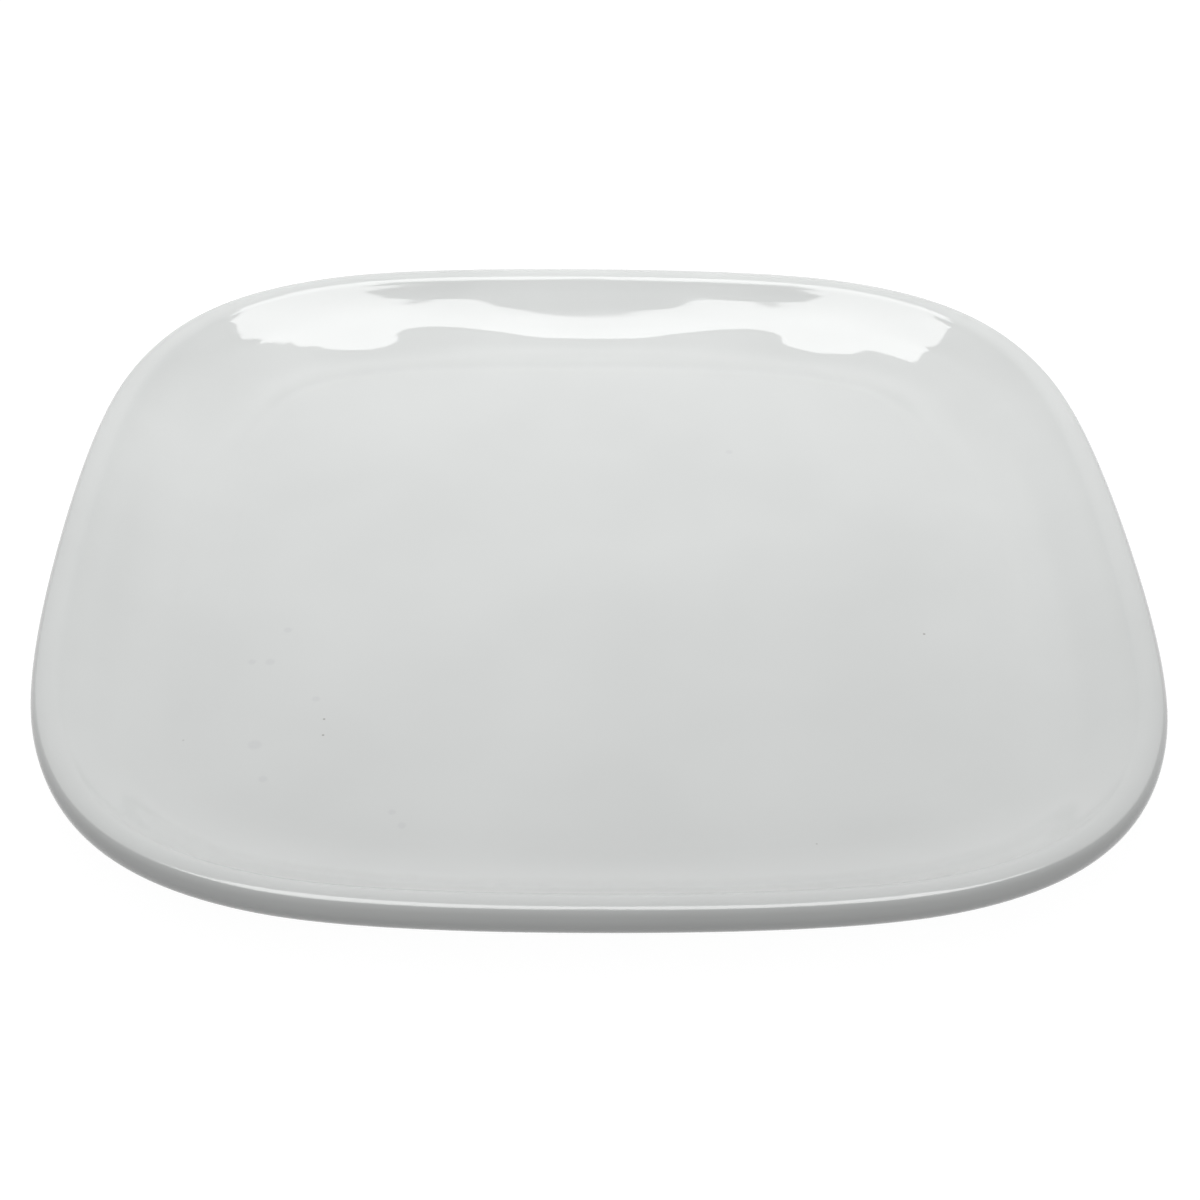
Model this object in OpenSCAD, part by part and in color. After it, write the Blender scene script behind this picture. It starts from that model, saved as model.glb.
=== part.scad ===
// Rounded square dinner plate in glazed porcelain.
// Millimetres, +Z up. The origin is the middle of the plate on the table top that it stands on.

/* [Plate] */
// Width and depth over the middles of two opposite sides
plate_width = 270; // [230:1:320]
// Height from the table to the crest of the lip
plate_height = 20; // [18:0.5:24]
// Radius of the four corners, seen from above
corner_radius = 70; // [64:1:76]

/* [Lip and wall] */
// Thickness of the rounded lip, straight across
lip_width = 4.6; // [3:0.1:6]
// Radius of the outer wall below the lip, seen in section
outer_wall_radius = 9.5; // [8:0.1:10.5]
// Depth of the eating face below the crest of the lip
well_depth = 11.3; // [9.5:0.1:12.5]
// Thickness of the floor outside the foot ring, with its glaze
floor_thickness = 4.5; // [3.5:0.1:5.5]
// Thickness of the floor inside the foot ring, with its glaze
base_thickness = 4.7; // [3.5:0.1:5.5]

/* [Foot ring] */
// Distance from the side of the plate to the outer edge of the ring's standing face
foot_inset = 47; // [42:0.5:52]
// Width of the standing face
foot_width = 3; // [2:0.1:5]
// How far each side of the ring leans out over the ring's height
foot_draft = 1.2; // [0.6:0.1:2]

/* [Glaze] */
// Thickness of the glaze
glaze_thickness = 0.3; // [0.2:0.05:0.5]
// Height of the bare band that is wiped clean at the foot of the ring
bare_band = 1; // [0.6:0.1:1.6]

/* [Hidden] */
$fa = 2;
$fs = 0.4;
glaze_colour = "whitesmoke";
body_colour = "linen";

// How far cuts run past what they cut
overrun = 1;

// The centres of a side's arc and of the corner's arc beside it lie on a right triangle of 13, 84 and 85
// parts, so that both arcs meet in one line. A quarter of that triangle is the unit of the outline.
across_share = 13;
along_share = 84;
slant_share = 85;
quarters = 4;
// The wedges that trim the arcs reach two more quarters, past the outline
wedge_quarters = quarters + 2;
rough_unit = (plate_width / 2 - corner_radius) / (quarters * (slant_share - along_share + across_share));
// Places are whole steps, at six figures of the longest reach, so that neighbouring arcs meet in one plane
place_step = pow(10, floor(log(wedge_quarters * along_share * rough_unit)) - 5);
outline_unit = to_step(rough_unit);
corner_r = to_step(corner_radius);
corner_at = quarters * across_share * outline_unit;
side_centre_at = quarters * (along_share - across_share) * outline_unit;
inner_side_r = quarters * slant_share * outline_unit;
side_r = corner_r + inner_side_r;
far_across = wedge_quarters * across_share * outline_unit;
far_along = wedge_quarters * along_share * outline_unit;

// Lip: a round of half its width, whose centre is at the height of the plate's widest line
lip_r = lip_width / 2;
lip_z = plate_height - lip_r;
// Levels of the eating face, of the underside beside the foot ring and of the base inside the ring
floor_z = plate_height - well_depth;
foot_height = floor_z - floor_thickness;
recess_depth = floor_z - base_thickness;
// Inner wall: an arc that leaves the lip's round on a right triangle of 20, 21 and 29 parts
rise_share = 20;
run_share = 21;
reach_share = 29;
inner_unit = well_depth / (reach_share - rise_share);
inner_wall_r = reach_share * inner_unit - lip_r;
inner_wall_at = [lip_r + run_share * inner_unit, lip_z + rise_share * inner_unit];
// Underside: an arc that leaves the outer wall's on a right triangle of 7, 24 and 25 parts, and ends level
short_share = 7;
long_share = 24;
span_share = 25;
under_unit = lip_z - outer_wall_radius - foot_height;
under_r = outer_wall_radius + span_share * under_unit;
wall_at = [outer_wall_radius, lip_z];
under_at = wall_at + [short_share, long_share] * under_unit;
// A point in the middle of the wall, on the line where the outer wall's arc ends
wall_core_r = (outer_wall_radius - lip_r) / 4;
wall_core_at = wall_at - [short_share, long_share] * ((outer_wall_radius - 2 * wall_core_r) / span_share);
// Foot ring: its inner edge, its middle, and the lines where its sides meet the underside and the base
foot_in = foot_inset + foot_width;
foot_middle = foot_inset + foot_width / 2;
foot_root_out = foot_inset - foot_draft;
foot_root_in = foot_in + foot_draft;
// A height in the middle of the floor
inside_floor_z = floor_z - min(floor_thickness, base_thickness) / 2;

function to_step(v) = round(v / place_step) * place_step;

// A round sector between two directions from its centre, both longer than the radius
module round_sector(centre, radius, from, to) {
  intersection() {
    translate(centre) circle(r = radius);
    polygon([centre, centre + from, centre + from + to, centre + to]);
  }
}

// Section of the plate without its foot ring. X runs inwards from the widest line of the side, and skin is
// the depth below the glazed surface. Its pieces meet edge to edge, and two discs inside the wall tie them.
module bowl_section(skin) {
  translate([lip_r, lip_z]) circle(r = lip_r / 2);
  translate(wall_core_at) circle(r = wall_core_r);
  round_sector([lip_r, lip_z], lip_r - skin, [-plate_height, 0], inner_wall_at - [lip_r, lip_z]);
  difference() {
    union() {
      round_sector(wall_at, outer_wall_radius - skin, [-plate_height, 0], wall_at - under_at);
      intersection() {
        polygon([
          [lip_r, lip_z], inner_wall_at, [corner_r, inner_wall_at[1]], [corner_r, foot_height + skin],
          [under_at[0], foot_height + skin], [under_at[0], 0], 2 * wall_at - under_at, wall_at
        ]);
        union() {
          translate(under_at) circle(r = under_r - skin);
          translate([under_at[0], 0]) square([corner_r, inner_wall_at[1]]);
        }
      }
    }
    translate(inner_wall_at) circle(r = inner_wall_r + skin);
    translate([inner_wall_at[0], floor_z - skin]) square([corner_r, inner_wall_at[1]]);
  }
}

// Section of the foot ring and of the base inside it, let into the floor above them
module foot_section(skin) {
  polygon([
    [foot_inset + skin, 0], [foot_in - skin, 0], [foot_root_in - skin, recess_depth + skin],
    [corner_r, recess_depth + skin], [corner_r, inside_floor_z], [foot_root_out + skin, inside_floor_z],
    [foot_root_out + skin, foot_height + skin]
  ]);
}

// Section of the hollow inside the foot ring
module recess_section(skin) {
  polygon([
    [foot_in - skin, 0], [foot_root_in - skin, recess_depth + skin], [corner_r + overrun, recess_depth + skin],
    [corner_r + overrun, -overrun], [foot_in - skin, -overrun]
  ]);
}

// Whole section, at the glazed surface or a skin's depth below it
module plate_section(skin) {
  difference() {
    union() {
      bowl_section(skin);
      foot_section(skin);
    }
    recess_section(skin);
  }
}

// Section of all the glaze, down to the bare band
module glaze_section() {
  difference() {
    intersection() {
      plate_section(0);
      translate([-overrun, bare_band]) square([corner_r + 2 * overrun, plate_height]);
    }
    plate_section(glaze_thickness);
  }
}

// The space inside the middle of the foot ring, under the floor
module base_side() {
  translate([foot_middle, -overrun]) square([corner_r, inside_floor_z + overrun]);
}

// The middle of the plate, bounded by four arcs that run into the turned sections, almost to the foot ring
module middle_outline() {
  intersection_for(quarter = [0:3]) rotate([0, 0, 90 * quarter]) {
    translate([0, -side_centre_at]) circle(r = side_r - foot_root_in - overrun);
  }
}

// What an arc's wedge keeps, over the whole height
module wedge(points) {
  translate([0, 0, -overrun]) linear_extrude(plate_height + 2 * overrun) polygon(points);
}

// Turns a section along one side and round the corner that follows it, four times
module around_plate() {
  for (quarter = [0:3]) rotate([0, 0, 90 * quarter]) {
    translate([0, -side_centre_at, 0]) intersection() {
      rotate_extrude() translate([side_r, 0]) mirror([1, 0]) children();
      wedge([[0, 0], [far_across, far_along], [-far_across, far_along]]);
    }
    translate([corner_at, corner_at, 0]) intersection() {
      rotate_extrude() translate([corner_r, 0]) mirror([1, 0]) children();
      wedge([[0, 0], [far_across, far_along], [far_along, far_along], [far_along, far_across]]);
    }
  }
}

// The fired body: floor, wall, lip and foot ring in one piece
module porcelain_body() {
  base_z = recess_depth + glaze_thickness;
  color(body_colour) union() {
    around_plate() plate_section(glaze_thickness);
    translate([0, 0, base_z]) linear_extrude(floor_z - glaze_thickness - base_z) middle_outline();
  }
}

// Glaze over the eating face, the lip, the outside and the underside down to the bare band
module face_glaze() {
  color(glaze_colour) union() {
    around_plate() difference() {
      glaze_section();
      base_side();
    }
    translate([0, 0, floor_z - glaze_thickness]) linear_extrude(glaze_thickness) middle_outline();
  }
}

// Glaze on the base inside the foot ring
module base_glaze() {
  color(glaze_colour) union() {
    around_plate() intersection() {
      glaze_section();
      base_side();
    }
    translate([0, 0, recess_depth]) linear_extrude(glaze_thickness) middle_outline();
  }
}

porcelain_body();
face_glaze();
base_glaze();
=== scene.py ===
import math

import bmesh
import bpy
from mathutils import Vector, Matrix
from mathutils.geometry import interpolate_bezier


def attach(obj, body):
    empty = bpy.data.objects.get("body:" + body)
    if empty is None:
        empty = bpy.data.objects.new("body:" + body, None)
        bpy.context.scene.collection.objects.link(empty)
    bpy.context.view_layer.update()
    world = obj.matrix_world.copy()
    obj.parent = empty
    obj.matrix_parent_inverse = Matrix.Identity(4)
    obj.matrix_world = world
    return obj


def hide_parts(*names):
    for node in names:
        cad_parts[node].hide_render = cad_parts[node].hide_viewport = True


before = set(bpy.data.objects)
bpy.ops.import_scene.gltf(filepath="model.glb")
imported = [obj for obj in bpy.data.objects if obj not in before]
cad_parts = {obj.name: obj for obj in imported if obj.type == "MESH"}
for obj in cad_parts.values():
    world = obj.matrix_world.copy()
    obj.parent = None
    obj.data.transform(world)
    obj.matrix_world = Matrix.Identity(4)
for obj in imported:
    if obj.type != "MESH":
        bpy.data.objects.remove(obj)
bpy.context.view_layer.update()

# Rounded square dinner plate of white glazed porcelain. Sizes are in millimetres and become metres in mm().
print("frame loaded:", ", ".join(sorted(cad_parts)))


def mm(value):
    return value / 1000


def clearSelection():
    if bpy.context.object and bpy.context.object.mode != "OBJECT":
        bpy.ops.object.mode_set(mode="OBJECT")
    bpy.ops.object.select_all(action="DESELECT")


def takeHold(piece):
    clearSelection()
    piece.select_set(True)
    bpy.context.view_layer.objects.active = piece


clearSelection()

# An eighth of the outline, from the middle of a side to a corner: how far the edge has turned, and its radius
# there. The radius changes little by little, as on a real mould, so no reflection has a kink.
outline = {
    "halfWidth": 135.0,
    "turns": (0, 3, 6, 9, 13, 18, 25, 34, 45),
    "radii": (904.2, 460.4, 246.9, 160.3, 101.3, 104.3, 83.1, 63.9, 62.0),
    "steps": 36,  # short arcs along an eighth
    "fineSteps": 1800,  # how finely its length is measured
}

# The section through the middle of a side, whose places are how far in from the widest line and how high
section = {
    "wallFrom": 30.9231,  # where the floor ends
    "arcs": (  # from there outwards, each running on from the last: radius, turn in degrees, steps
        (34.111, 44.5, 38),  # the wall
        (4.66, -29.5, 12),  # the round into the lip
        (7.125, -15, 5), (6, -14, 6),  # the lip's top, which is almost flat
        (0.8, -28, 5),  # its outer edge
        (3.979, -48, 9),  # its shoulder, down to the widest line
        (5.6, -65.985, 12), (83.98, -24.015, 10),  # the outside and the underside
    ),
    "floor": 8.7, "beside": 4.2, "base": 4.0,  # levels of the eating face, the underside and the base
    "wavesFrom": 42.5, "middleFrom": 56.0,  # where the waves end, and where the filled middle begins
    "middleCuts": 4, "floorCuts": 11, "ringCuts": 3,  # pieces that the straight lines are cut into
    "footOut": 47.0, "footIn": 50.0, "draft": 1.2, "bareBand": 1.0, "glaze": 0.3,
}

# The wall of a pressed plate is never quite even: it warps a little as it dries and is fired. Each band of
# the wall, from the edge inwards, is moved along a side by one height and five cosine waves, the longest
# first. The far half warped most.
wallWaves = {
    "nearShare": 0.25, "growsFrom": 10, "growsTo": 75,  # the near half's share of it, and where it grows
    "nearFill": (13, 8, 0.8),  # the near wall is a little fuller instead: where, half width and height
    "bands": ((10.3, 6), (17.3, 8), (24.3, 9), (31.3, 11)),  # middle and half width of each band
    "heights": (
        (0.03, -0.11, 0.12, -0.06, 0.05, -0.08),
        (-0.16, -0.39, -0.36, 0.13, 0.10, -0.09),
        (-0.74, -0.36, -0.56, -0.03, 0.06, 0.01),
        (-1.39, 0.17, -0.02, -0.17, -0.02, 0.10),
    ),
    "above": (14.5, 0.3, 6.3),  # only what is above a slanting line moves: its top, fall per mm and low end
}


def outlineRadius(turn):
    turns, radii = outline["turns"], outline["radii"]
    for low, high, first, last in zip(turns, turns[1:], radii, radii[1:]):
        if turn <= high:
            share = (turn - low) / (high - low)
            return first ** (1 - share) * last ** share


def traceOutline():
    # cuts an eighth of the outline into short arcs of nearly equal length, and scales it to the plate's width
    fine, steps, whole = outline["fineSteps"], outline["steps"], outline["turns"][-1]
    lengths = [0]
    for i in range(fine):
        lengths.append(lengths[-1] + outlineRadius(whole * (i + 0.5) / fine))
    turns = [0]
    for i, length in enumerate(lengths):
        if len(turns) < steps and length >= lengths[-1] * len(turns) / steps:
            turns.append(whole * i / fine)
    turns = [math.radians(turn) for turn in turns + [whole]]
    radii = [outlineRadius(math.degrees(low + high) / 2) for low, high in zip(turns, turns[1:])]
    reach = sum(radius * (math.cos(low) - math.cos(high) + math.sin(high) - math.sin(low))
                for radius, low, high in zip(radii, turns, turns[1:]))
    return [(radius * outline["halfWidth"] / reach, high - low)
            for radius, low, high in zip(radii, turns, turns[1:])]


def walkOutline(arcs):
    # where each arc's centre is, and the places and outward directions between the arcs
    place, turned, centres, stops = Vector((mm(outline["halfWidth"]), 0)), 0, [], []
    for radius, turn in arcs:
        facing = Vector((math.cos(turned), math.sin(turned)))
        stops.append((place, facing))
        centre = place - facing * mm(radius)
        centres.append((centre, turn))
        turned += turn
        place = centre + Vector((math.cos(turned), math.sin(turned))) * mm(radius)
    stops.append((place, Vector((math.cos(turned), math.sin(turned)))))
    return centres, stops


eighth = traceOutline()
quarterArcs = walkOutline(eighth + eighth[::-1])[0]
edgeStops = walkOutline(eighth)[1]
print("outline traced:", len(quarterArcs), "arcs in a quarter")


def leaning(degrees):
    return Vector((math.sin(math.radians(degrees)), math.cos(math.radians(degrees))))


def placeArcs():
    # each arc starts where the last one ends and in its direction, so there is no kink between them
    point, turned, placed = Vector((section["wallFrom"], section["floor"])), 0, []
    for radius, turn, steps in section["arcs"]:
        reach = math.copysign(radius, turn)
        centre = point + reach * leaning(turned)
        turned += turn
        point = centre - reach * leaning(turned)
        placed.append((centre, turn, steps))
    return placed, point.x


sectionArcs, underFrom = placeArcs()
same = {"merge": 0.002, "level": 0.01, "corner": 0.05}  # mm, how near counts as the same place


def sectionPoint(at):
    return Vector((mm(outline["halfWidth"] - at[0]), 0, mm(at[1])))


def startSection(name, at):
    clearSelection()
    bpy.ops.mesh.primitive_plane_add(size=mm(1))
    piece = bpy.context.active_object
    piece.name = piece.data.name = name
    bpy.ops.object.mode_set(mode="EDIT")
    bpy.ops.mesh.select_all(action="SELECT")
    bpy.ops.mesh.merge(type="CENTER")
    bpy.ops.transform.translate(value=sectionPoint(at))
    return piece


def drawLine(start, end, cuts):
    step = (sectionPoint(end) - sectionPoint(start)) / cuts
    for _ in range(cuts):
        bpy.ops.mesh.extrude_region_move(TRANSFORM_OT_translate={"value": step})


def drawArc(centre, degrees, steps):
    # spins the last point, anticlockwise as seen from the front
    bpy.ops.mesh.spin(steps=steps, angle=math.radians(degrees), center=sectionPoint(centre), axis=(0, 1, 0))


def roundCorner(piece, at, radius, segments):
    mesh = bmesh.from_edit_mesh(piece.data)
    bpy.ops.mesh.select_all(action="DESELECT")
    for vert in mesh.verts:
        vert.select_set((vert.co - sectionPoint(at)).length < mm(same["corner"]))
    bmesh.update_edit_mesh(piece.data)
    bpy.ops.mesh.bevel(affect="VERTICES", offset_type="OFFSET", offset=mm(radius), segments=segments)


def drawTopAndSide(skin):
    # from the middle of the floor out over the lip and back under towards the foot ring
    s = section
    level = s["floor"] - skin
    drawLine((s["middleFrom"], level), (s["wavesFrom"], level), s["middleCuts"])
    drawLine((s["wavesFrom"], level), (s["wallFrom"], level), s["floorCuts"])
    for centre, turn, steps in sectionArcs:
        drawArc(centre, turn, steps)


def swelling(inward, middle, width):
    return max(1 - ((inward - middle) / width) ** 2, 0) ** 3


def waveDepth(inward, share):
    depth = 0
    for (middle, width), waves in zip(wallWaves["bands"], wallWaves["heights"]):
        swell = sum(height * math.cos(k * math.pi * share) for k, height in enumerate(waves))
        depth += swelling(inward, middle, width) * swell
    return depth


def waveTheWall(piece):
    # moves only the top of the floor and the wall
    top, fall, low = wallWaves["above"]
    near, start, end = wallWaves["nearShare"], mm(wallWaves["growsFrom"]), mm(wallWaves["growsTo"])
    middle, width, height = wallWaves["nearFill"]
    mesh = bmesh.from_edit_mesh(piece.data)
    for vert in mesh.verts:
        across, along = abs(vert.co.x), abs(vert.co.y)
        place = Vector((max(across, along), min(across, along)))
        offs = [abs((place - stop).cross(facing)) for stop, facing in edgeStops]
        nearest = offs.index(min(offs))
        stop, facing = edgeStops[nearest]
        inward = (stop - place).dot(facing) * 1000
        if inward < section["wavesFrom"] and vert.co.z > mm(max(top - fall * inward, low)):
            far = min(max((vert.co.y - start) / (end - start), 0), 1)
            far = far * far * (3 - 2 * far)
            warp = (near + (1 - near) * far) * waveDepth(inward, nearest / outline["steps"])
            vert.co.z += mm(warp + (1 - far) * height * swelling(inward, middle, width))
    bmesh.update_edit_mesh(piece.data)


def turnRound(piece):
    # the section runs along half a side, round a corner and along the next half side, and three copies follow
    bpy.ops.mesh.select_all(action="SELECT")
    for centre, turn in quarterArcs:
        bpy.ops.mesh.spin(steps=1, angle=-turn, center=(*centre, 0), axis=(0, 0, 1))
    bpy.ops.mesh.select_all(action="SELECT")
    for _ in range(3):
        bpy.ops.mesh.duplicate()
        bpy.ops.transform.rotate(value=math.radians(90), orient_axis="Z", center_override=(0, 0, 0))
    waveTheWall(piece)


def fillMiddle(piece, level):
    # closes the inner loop with a square grid whose corners point to the plate's corners
    bpy.ops.mesh.select_all(action="DESELECT")
    mesh = bmesh.from_edit_mesh(piece.data)
    for edge in mesh.edges:
        if edge.is_boundary and all(abs(vert.co.z - mm(level)) < mm(same["level"]) for vert in edge.verts):
            edge.select_set(True)
    rim = [vert for vert in mesh.verts if vert.select]
    mesh.select_history.clear()
    mesh.select_history.add(max(rim, key=lambda vert: vert.co.x + vert.co.y))
    bmesh.update_edit_mesh(piece.data)
    bpy.ops.mesh.fill_grid(span=len(rim) // 4)


def sewUp():
    bpy.ops.mesh.select_all(action="SELECT")
    bpy.ops.mesh.remove_doubles(threshold=mm(same["merge"]))
    bpy.ops.mesh.normals_make_consistent(inside=False)


glazeEdge = {"sharpness": 60, "round": 0.12, "segments": 3}  # the soft bead where a coat ends


def thicken(piece, side):
    # gives a coat its thickness, then rounds its open edge as melted glaze is
    takeHold(piece)
    coat = piece.modifiers.new("coat", "SOLIDIFY")
    coat.thickness = mm(section["glaze"])
    coat.offset = side
    coat.use_even_offset = True
    bpy.ops.object.modifier_apply(modifier="coat")
    bpy.ops.object.mode_set(mode="EDIT")
    bpy.ops.mesh.select_all(action="DESELECT")
    bpy.ops.mesh.edges_select_sharp(sharpness=math.radians(glazeEdge["sharpness"]))
    bpy.ops.mesh.bevel(offset_type="OFFSET", offset=mm(glazeEdge["round"]), segments=glazeEdge["segments"])
    bpy.ops.object.mode_set(mode="OBJECT")


# Every piece is made a little lower, to stay inside the solids' box, and is smooth but for its sharp edges
finish = {"squeeze": 0.9997, "middle": 10, "smoothBelow": 40}


def finishPiece(piece, slot, material, *nodes):
    takeHold(piece)
    bpy.ops.object.mode_set(mode="EDIT")
    bpy.ops.mesh.select_all(action="SELECT")
    bpy.ops.transform.resize(value=(1, 1, finish["squeeze"]), center_override=(0, 0, mm(finish["middle"])))
    bpy.ops.object.mode_set(mode="OBJECT")
    bpy.ops.object.shade_smooth_by_angle(angle=math.radians(finish["smoothBelow"]))
    piece.data.materials.clear()
    piece.data.materials.append(material)
    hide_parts(*nodes)
    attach(piece, "root")
    print(piece.name, "made:", len(piece.data.polygons), "faces")


def linear(hexColour):
    # an sRGB hex colour as linear light, for a shader socket
    parts = [int(hexColour[i:i + 2], 16) / 255 for i in (1, 3, 5)]
    return [part / 12.92 if part <= 0.04045 else ((part + 0.055) / 1.055) ** 2.4 for part in parts] + [1]


def addNode(tree, kind, inputs=None, **settings):
    node = tree.nodes.new(kind)
    for name, value in settings.items():
        setattr(node, name, value)
    for name, value in (inputs or {}).items():
        if isinstance(value, bpy.types.NodeSocket):
            tree.links.new(value, node.inputs[name])
        else:
            node.inputs[name].default_value = value
    return node


def perMetre(size):
    # a noise texture's scale for features of a size in millimetres
    return 1000 / size


glazeLook = {
    "colour": "#e0e2e1", "deepGlazeAndPaintedReflectionColour": "#d5d7d6", "speckColour": "#8d8a85", "blotColour": "#c9cacc",
    "speckStrength": 0.65, "blotStrength": 0.3,
    "ior": 1.52, "roughness": (0.03, 0.055),
    "cloudSize": 48,  # mm, slow changes in the glaze's depth and in its painted cloudy reflection
    "peelSize": 3.5, "peelHeight": 0.0006,  # mm, the faint ripple left by the melting glaze
    "specks": (  # where pinholes and iron specks lie on the floor, and their radius, in mm
        (-96.7, -67.7, 0.55), (-64.8, -60.5, 0.4), (-64.6, -66.2, 0.4), (-65.6, -96.5, 0.4),
        (46.7, -102.0, 0.45), (80.2, -27.6, 0.45), (110.8, -80.8, 0.5),
    ),
    "blots": (  # faint marks under the glaze, in the same way
        (-79.4, -39.4, 1.6), (-80.0, -69.7, 2.2), (-67.3, -53.2, 1.3), (-110.4, -77.4, 1.4),
        (109.7, -74.6, 1.4), (-76.2, -27.0, 1.4), (-83.7, -39.4, 1.3), (-77.0, -81.4, 1.4),
        (-44.9, -96.5, 1.3), (-47.3, -92.3, 1.2), (37.1, 52.4, 1.3),
    ),
    "spotCore": 0.4,  # share of a mark's radius inside which it is at its strongest
}


def markSpots(tree, coords, spots, colour, marked, strength):
    # lays each small round mark over the colour so far
    for x, y, radius in spots:
        away = addNode(tree, "ShaderNodeVectorMath", {0: coords, 1: (mm(x), mm(y), mm(section["floor"]))},
                       operation="DISTANCE")
        core = mm(radius * glazeLook["spotCore"])
        mark = addNode(tree, "ShaderNodeMapRange", {"Value": away.outputs["Value"], "From Min": mm(radius),
                                                    "From Max": core, "To Max": strength},
                       interpolation_type="SMOOTHSTEP")
        mixed = addNode(tree, "ShaderNodeMix", {0: mark.outputs[0], 6: colour, 7: linear(marked)},
                        data_type="RGBA")
        colour = mixed.outputs[2]
    return colour


def makeGlaze():
    # White gloss porcelain glaze, dipped and fired: a glassy skin with sharp reflections over a soft white
    # body, with a trace of ripple, colour darker in soft clouds, both where the glaze lies thick and as a
    # painted reflection of a cloudy ceiling, and a few pinholes and specks
    look = glazeLook
    material = bpy.data.materials.new("glazedPorcelain")
    material.use_nodes = True
    tree = material.node_tree
    shader = tree.nodes["Principled BSDF"]
    coords = addNode(tree, "ShaderNodeTexCoord").outputs["Object"]
    cloud = addNode(tree, "ShaderNodeTexNoise", {"Vector": coords, "Scale": perMetre(look["cloudSize"]),
                                                 "Detail": 2})
    # painted reflection: the colour darkens in soft clouds, as a cloudy ceiling seen in the glaze, and where
    # the glaze lies thick
    tone = addNode(tree, "ShaderNodeMix", {0: cloud.outputs[0], 6: linear(look["colour"]),
                                           7: linear(look["deepGlazeAndPaintedReflectionColour"])}, data_type="RGBA")
    colour = markSpots(tree, coords, look["blots"], tone.outputs[2], look["blotColour"], look["blotStrength"])
    colour = markSpots(tree, coords, look["specks"], colour, look["speckColour"], look["speckStrength"])
    tree.links.new(colour, shader.inputs["Base Color"])
    peel = addNode(tree, "ShaderNodeTexNoise", {"Vector": coords, "Scale": perMetre(look["peelSize"]),
                                                "Detail": 1})
    gloss = addNode(tree, "ShaderNodeMapRange", {"Value": cloud.outputs[0], "To Min": look["roughness"][0],
                                                 "To Max": look["roughness"][1]})
    ripple = addNode(tree, "ShaderNodeBump", {"Height": peel.outputs[0], "Distance": mm(look["peelHeight"])})
    tree.links.new(gloss.outputs[0], shader.inputs["Roughness"])
    tree.links.new(ripple.outputs[0], shader.inputs["Normal"])
    shader.inputs["IOR"].default_value = look["ior"]
    return material


bisqueLook = {
    "colour": "#dcd6ca", "rubColour": "#bdb7ad",
    "gritSize": 0.35, "gritHeight": 0.02,  # mm, coarser than real porcelain's grain so that it shows
    "rubSize": 9, "rubFrom": 0.45, "rubTo": 0.75,  # mm, patches of kiln wash and table wear, and their edges
    "roughness": 0.75,
}


def makeBisque():
    # Bare fired porcelain, sponged clean of glaze: matt, faintly warm and gritty, greyed where it is rubbed
    look = bisqueLook
    material = bpy.data.materials.new("barePorcelain")
    material.use_nodes = True
    tree = material.node_tree
    shader = tree.nodes["Principled BSDF"]
    coords = addNode(tree, "ShaderNodeTexCoord").outputs["Object"]
    rub = addNode(tree, "ShaderNodeTexNoise", {"Vector": coords, "Scale": perMetre(look["rubSize"]),
                                               "Detail": 5})
    worn = addNode(tree, "ShaderNodeMapRange", {"Value": rub.outputs[0], "From Min": look["rubFrom"],
                                                "From Max": look["rubTo"]})
    tone = addNode(tree, "ShaderNodeMix", {0: worn.outputs[0], 6: linear(look["colour"]),
                                           7: linear(look["rubColour"])}, data_type="RGBA")
    grit = addNode(tree, "ShaderNodeTexNoise", {"Vector": coords, "Scale": perMetre(look["gritSize"]),
                                                "Detail": 2})
    rough = addNode(tree, "ShaderNodeBump", {"Height": grit.outputs[0], "Distance": mm(look["gritHeight"])})
    tree.links.new(tone.outputs[2], shader.inputs["Base Color"])
    tree.links.new(rough.outputs[0], shader.inputs["Normal"])
    shader.inputs["Roughness"].default_value = look["roughness"]
    return material


glazedPorcelain = makeGlaze()
barePorcelain = makeBisque()
print("materials made")

# Glaze over the eating face, the lip, the outside and the underside, down to the bare band of the foot ring
faceCoat = {"rootRound": 1.4, "rootSegments": 5}


def makeFaceGlaze():
    s = section
    piece = startSection("plateFaceGlaze", (s["middleFrom"], s["floor"]))
    drawTopAndSide(0)
    root = (s["footOut"] - s["draft"], s["beside"])
    edge = (s["footOut"] - s["draft"] * s["bareBand"] / s["beside"], s["bareBand"])
    drawLine((underFrom, s["beside"]), root, s["ringCuts"])
    drawLine(root, edge, s["ringCuts"])
    roundCorner(piece, root, faceCoat["rootRound"], faceCoat["rootSegments"])
    turnRound(piece)
    sewUp()
    fillMiddle(piece, s["floor"])
    sewUp()
    thicken(piece, -1)
    return piece


# Glaze on the base inside the foot ring
baseCoat = {"rootRound": 1.2, "rootSegments": 5}


def makeBaseGlaze():
    s = section
    edge = (s["footIn"] + s["draft"] * s["bareBand"] / s["base"], s["bareBand"])
    root = (s["footIn"] + s["draft"], s["base"])
    piece = startSection("plateBaseGlaze", edge)
    drawLine(edge, root, s["ringCuts"])
    drawLine(root, (s["middleFrom"], s["base"]), s["ringCuts"])
    roundCorner(piece, root, baseCoat["rootRound"], baseCoat["rootSegments"])
    turnRound(piece)
    sewUp()
    fillMiddle(piece, s["base"])
    sewUp()
    thicken(piece, 1)
    return piece


# The fired body under the glaze, bare only at the standing edge of its foot ring
clayBody = {"rootRound": 1.3, "rootSegments": 4, "edgeRound": 0.6, "edgeSegments": 4}


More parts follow.
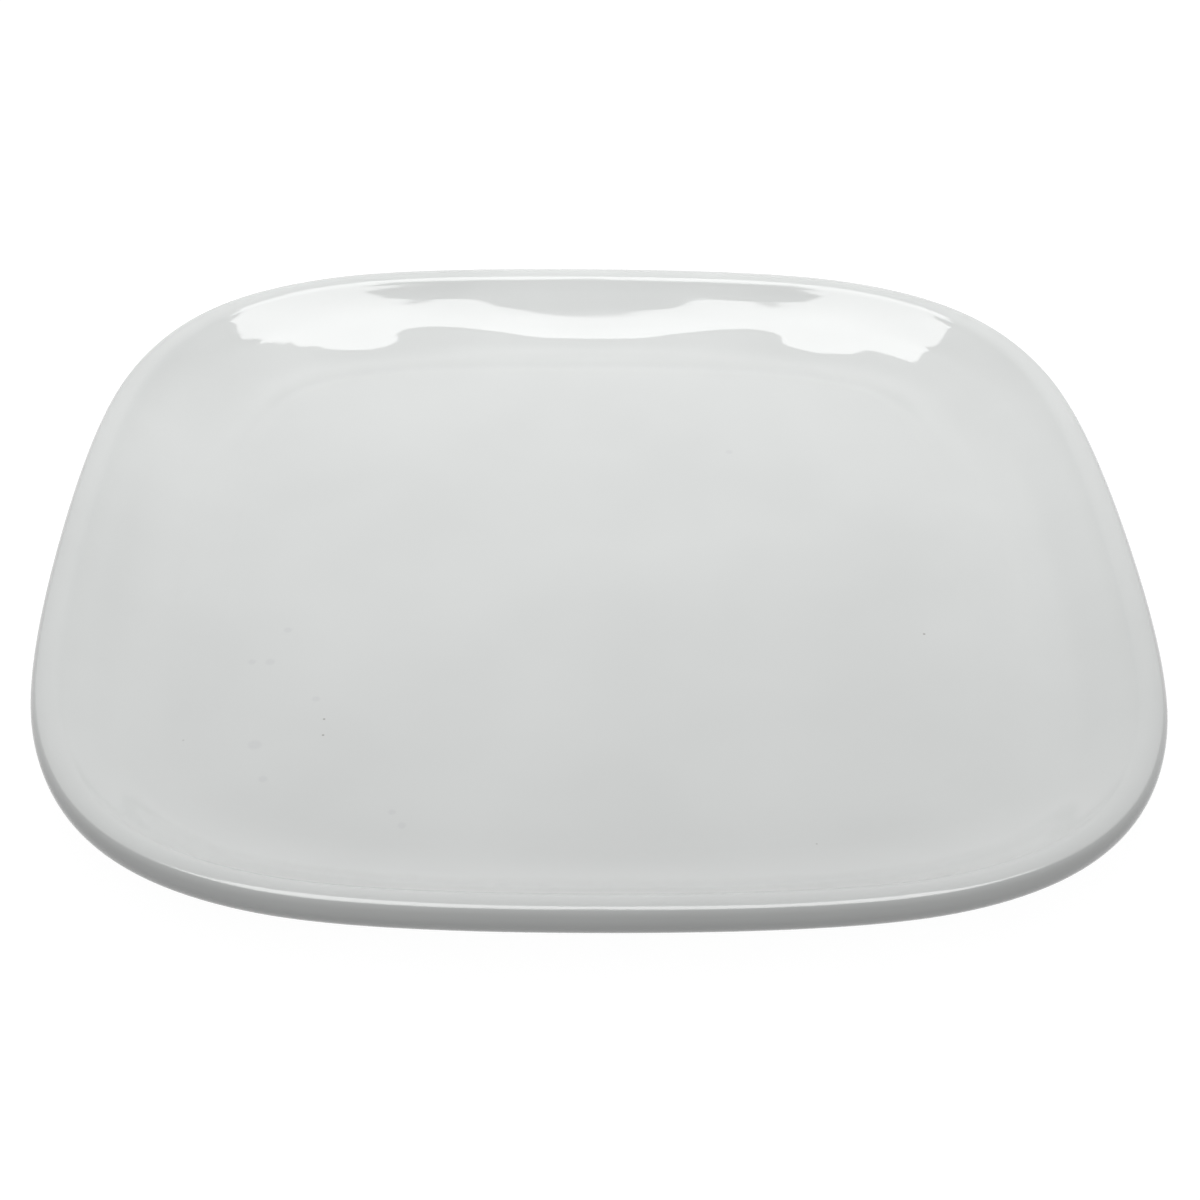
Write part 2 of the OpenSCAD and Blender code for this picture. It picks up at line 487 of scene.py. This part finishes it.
def makeBody():
    s, skin = section, section["glaze"]
    outRoot = (s["footOut"] - s["draft"] + skin, s["beside"] + skin)
    outEdge, inEdge = (s["footOut"] + skin, 0), (s["footIn"] - skin, 0)
    inRoot = (s["footIn"] + s["draft"] - skin, s["base"] + skin)
    piece = startSection("plateBody", (s["middleFrom"], s["floor"] - skin))
    drawTopAndSide(skin)
    corners = [(underFrom, outRoot[1]), outRoot, outEdge, inEdge, inRoot, (s["middleFrom"], inRoot[1])]
    for start, end in zip(corners, corners[1:]):
        drawLine(start, end, s["ringCuts"])
    for root in (outRoot, inRoot):
        roundCorner(piece, root, clayBody["rootRound"], clayBody["rootSegments"])
    for edge in (outEdge, inEdge):
        roundCorner(piece, edge, clayBody["edgeRound"], clayBody["edgeSegments"])
    turnRound(piece)
    sewUp()
    fillMiddle(piece, s["floor"] - skin)
    fillMiddle(piece, inRoot[1])
    sewUp()
    return piece


finishPiece(makeFaceGlaze(), "white_glaze", glazedPorcelain, "face_glaze")
finishPiece(makeBaseGlaze(), "white_glaze", glazedPorcelain, "base_glaze")
finishPiece(makeBody(), "bisque_porcelain", barePorcelain, "porcelain_body")

studio = {
    "camera": (-14.80, -469.88, 358.26), "pitch": 37.487, "yaw": 1.924, "roll": 1.412,
    "focal": 2295.6, "pixels": 1200, "filmWidth": 36, "clipStart": 10,  # focal is in pixels of the picture
    "keyAt": (0, 175, 430), "keyAim": (0, 100, 0), "keySize": (520, 240), "keyRadiance": 4.0,
    "fillAt": (0, -790, 480), "fillAim": (0, 0, 0), "fillSize": (1400, 500), "fillRadiance": 0.61,
    "worldLevel": 0.32, "floorSize": 6000, "paperTone": 0.18, "paperGlow": 0.95,
}


def placeCamera():
    data = bpy.data.cameras.new("camera")
    camera = bpy.data.objects.new("camera", data)
    bpy.context.scene.collection.objects.link(camera)
    turn = (Matrix.Rotation(math.radians(-studio["yaw"]), 4, "Z")
            @ Matrix.Rotation(math.radians(90 - studio["pitch"]), 4, "X")
            @ Matrix.Rotation(math.radians(studio["roll"]), 4, "Z"))
    camera.matrix_world = Matrix.Translation([mm(v) for v in studio["camera"]]) @ turn
    data.sensor_width = studio["filmWidth"]
    data.lens = studio["filmWidth"] * studio["focal"] / studio["pixels"]
    data.clip_start = mm(studio["clipStart"])
    bpy.context.scene.camera = camera


def softbox(name, at, aim, size, radiance):
    # lights the matt depth of the glaze only, since the scrim below gives the reflections
    data = bpy.data.lights.new(name, "AREA")
    data.shape = "RECTANGLE"
    data.size, data.size_y = mm(size[0]), mm(size[1])
    data.energy = radiance * math.pi * data.size * data.size_y
    lamp = bpy.data.objects.new(name, data)
    bpy.context.scene.collection.objects.link(lamp)
    lamp.location = [mm(v) for v in at]
    lamp.rotation_euler = (Vector(at) - Vector(aim)).to_track_quat("Z", "Y").to_euler()
    lamp.visible_camera = lamp.visible_glossy = False


# The white scrim over the table, which shows only as a reflection in the glaze. Its near edge is one smooth
# curve, its far edge runs straight from corner to corner, and it has an opening for the camera's arm.
scrim = {
    "height": 1000, "radiance": 5.9,
    "nearEdge": ((-550, 0), (-260, -720), (460, -720), (610, 130)),  # left end, two handles, right end
    "nearSteps": 18,
    "farRight": ((620, 260), (435, 270), (350, 320), (300, 425), (155, 335), (85, 380)),
    "farMiddle": (0, 370),
    "farLeft": ((-90, 405), (-205, 470), (-300, 425), (-350, 320), (-570, 235), (-530, 100)),
    "opening": ((85, 0), (-90, 10), (-140, 44), (-190, 56), (-284, 107), (-475, 0)),  # place and half width
    "openingAt": 20, "openingLean": 0.026,  # where its middle line is, and how it leans
}


def hangScrim():
    s = scrim
    near = interpolate_bezier(*[Vector(point) for point in s["nearEdge"]], s["nearSteps"] + 1)
    near = [tuple(point) for point in near]
    middle = s["nearSteps"] // 2
    slot = {side: [(s["openingAt"] + s["openingLean"] * y + side * half, y) for y, half in s["opening"]]
            for side in (-1, 1)}
    halves = [
        (*near[middle:], *s["farRight"], s["farMiddle"], *slot[1]),
        (s["farMiddle"], *s["farLeft"], *near[:middle + 1], *slot[-1][::-1]),
    ]
    mesh = bpy.data.meshes.new("studioScrim")
    verts = [(mm(x), mm(y), mm(s["height"])) for half in halves for x, y in half]
    mesh.from_pydata(verts, [], [range(len(halves[0])), range(len(halves[0]), len(verts))])
    hung = bpy.data.objects.new("studioScrim", mesh)
    bpy.context.scene.collection.objects.link(hung)
    material = bpy.data.materials.new("litScrim")
    material.use_nodes = True
    tree = material.node_tree
    tree.nodes.clear()
    glow = addNode(tree, "ShaderNodeEmission", {"Color": (1, 1, 1, 1), "Strength": s["radiance"]})
    addNode(tree, "ShaderNodeOutputMaterial", {"Surface": glow.outputs[0]})
    mesh.materials.append(material)
    hung.visible_camera = hung.visible_diffuse = hung.visible_transmission = hung.visible_shadow = False


def seenDirectly(tree):
    # 1 for rays from the camera, from gloss and through glass, which all see the same white surroundings
    path = addNode(tree, "ShaderNodeLightPath").outputs
    seen = path["Is Camera Ray"]
    for kind in ("Is Glossy Ray", "Is Transmission Ray"):
        seen = addNode(tree, "ShaderNodeMath", {0: seen, 1: path[kind]}, operation="MAXIMUM").outputs[0]
    return seen


def makeWorld():
    world = bpy.data.worlds.new("studio")
    bpy.context.scene.world = world
    world.use_nodes = True
    tree = world.node_tree
    tree.nodes.clear()
    plain = addNode(tree, "ShaderNodeBackground", {"Color": (1, 1, 1, 1), "Strength": studio["worldLevel"]})
    white = addNode(tree, "ShaderNodeBackground", {"Color": (1, 1, 1, 1), "Strength": 1})
    mixed = addNode(tree, "ShaderNodeMixShader",
                    {0: seenDirectly(tree), 1: plain.outputs[0], 2: white.outputs[0]})
    addNode(tree, "ShaderNodeOutputWorld", {"Surface": mixed.outputs[0]})


def makeFloor():
    clearSelection()
    bpy.ops.mesh.primitive_plane_add(size=mm(studio["floorSize"]))
    floor = bpy.context.active_object
    floor.name = "studioFloor"
    material = bpy.data.materials.new("whitePaper")
    material.use_nodes = True
    tree = material.node_tree
    tree.nodes.clear()
    paper = addNode(tree, "ShaderNodeBsdfDiffuse", {"Color": (*[studio["paperTone"]] * 3, 1)})
    bright = addNode(tree, "ShaderNodeEmission", {"Color": (1, 1, 1, 1), "Strength": studio["paperGlow"]})
    both = addNode(tree, "ShaderNodeAddShader", {0: paper.outputs[0], 1: bright.outputs[0]})
    mixed = addNode(tree, "ShaderNodeMixShader",
                    {0: seenDirectly(tree), 1: paper.outputs[0], 2: both.outputs[0]})
    addNode(tree, "ShaderNodeOutputMaterial", {"Surface": mixed.outputs[0]})
    floor.data.materials.append(material)


placeCamera()
for name in ("key", "fill"):
    softbox(name + "Softbox", *(studio[name + part] for part in ("At", "Aim", "Size", "Radiance")))
hangScrim()
makeWorld()
makeFloor()
bpy.context.scene.view_settings.view_transform = "Standard"
print("studio set")
